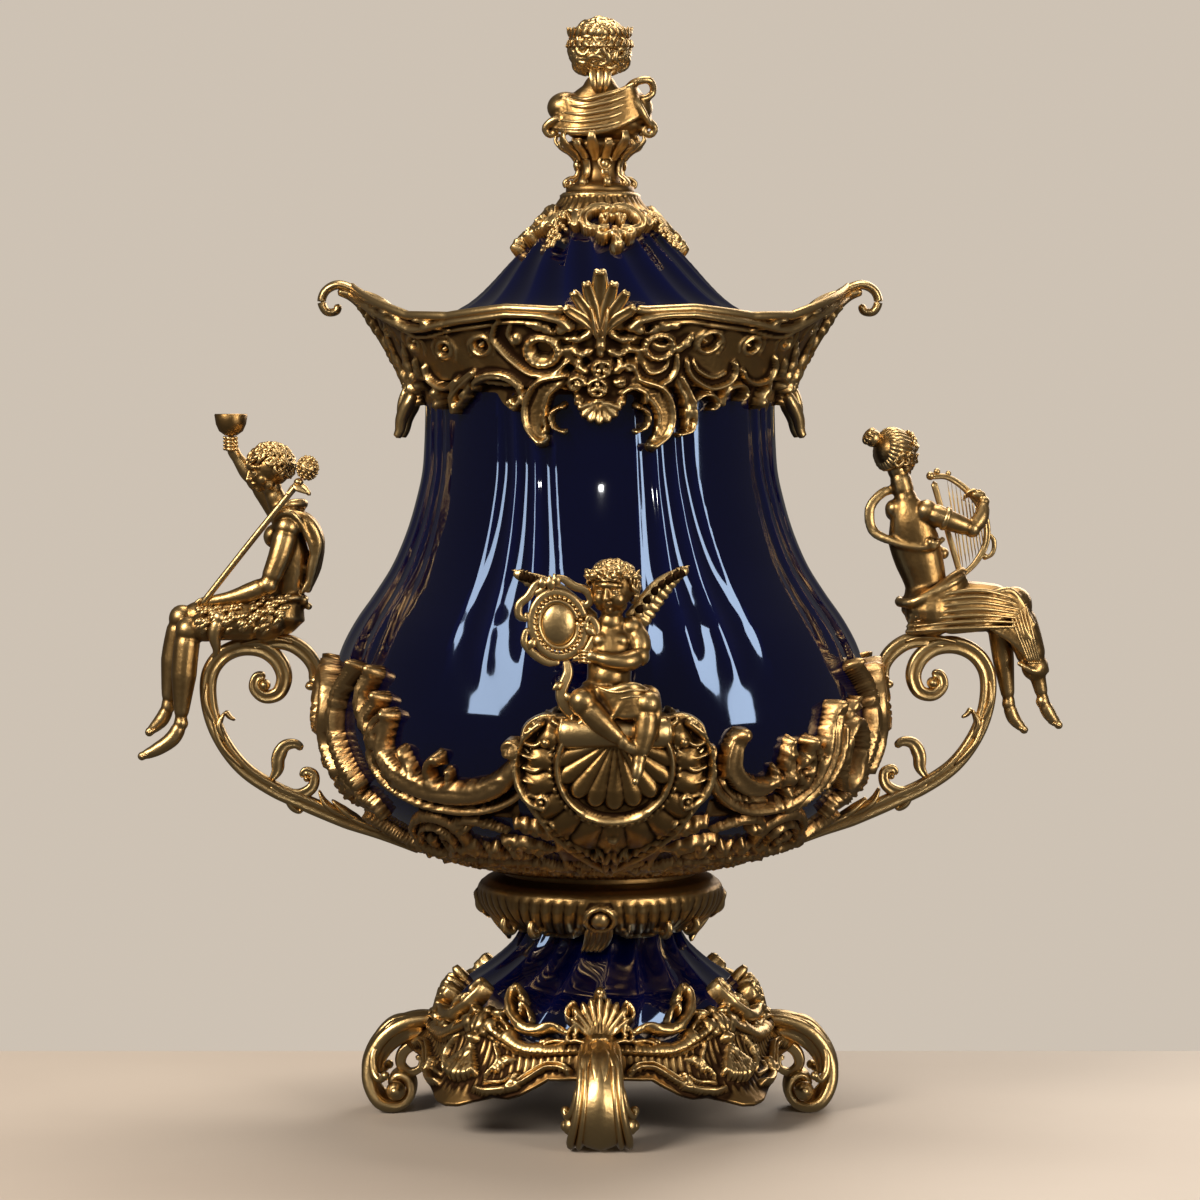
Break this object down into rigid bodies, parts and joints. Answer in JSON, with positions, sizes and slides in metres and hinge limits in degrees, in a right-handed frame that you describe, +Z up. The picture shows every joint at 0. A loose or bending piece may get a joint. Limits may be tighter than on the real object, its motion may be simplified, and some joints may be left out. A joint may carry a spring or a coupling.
{
  "type": "mantel urn",
  "caption": "Lidded porcelain mantel urn on scroll feet, in gilt bronze mounts, with a seated figure on each handle, a winged child in front and a bust on the lid.",
  "frame": {"origin": "middle of the bounding box, at the height of the feet's undersides", "axes": "+Z up along the urn's axis, -Y towards the viewer on the side of the winged child, +X to the viewer's right"},
  "size_m": [0.5121, 0.3729, 0.6028],
  "materials": {
    "gilt_bronze": "antique gold, rubbed bright on high spots and dark brown in the recesses",
    "cobalt_porcelain": "very dark cobalt glaze, high gloss"
  },
  "bodies": {
    "root": {"stand": "gilt_bronze", "waist_ring": "gilt_bronze", "rim_collar": "gilt_bronze", "lid_crown": "gilt_bronze", "bust_socle": "gilt_bronze", "lid_bust": "gilt_bronze", "bowl_cradle": "gilt_bronze", "front_bracket": "gilt_bronze", "back_bracket": "gilt_bronze", "left_handle": "gilt_bronze", "right_handle": "gilt_bronze", "youth_with_dish": "gilt_bronze", "youth_staff": "gilt_bronze", "lady": "gilt_bronze", "lyre": "gilt_bronze", "putto": "gilt_bronze", "putto_cartouche": "gilt_bronze", "porcelain_pedestal": "cobalt_porcelain", "porcelain_body": "cobalt_porcelain", "porcelain_lid": "cobalt_porcelain"}
  },
  "joints": []
}
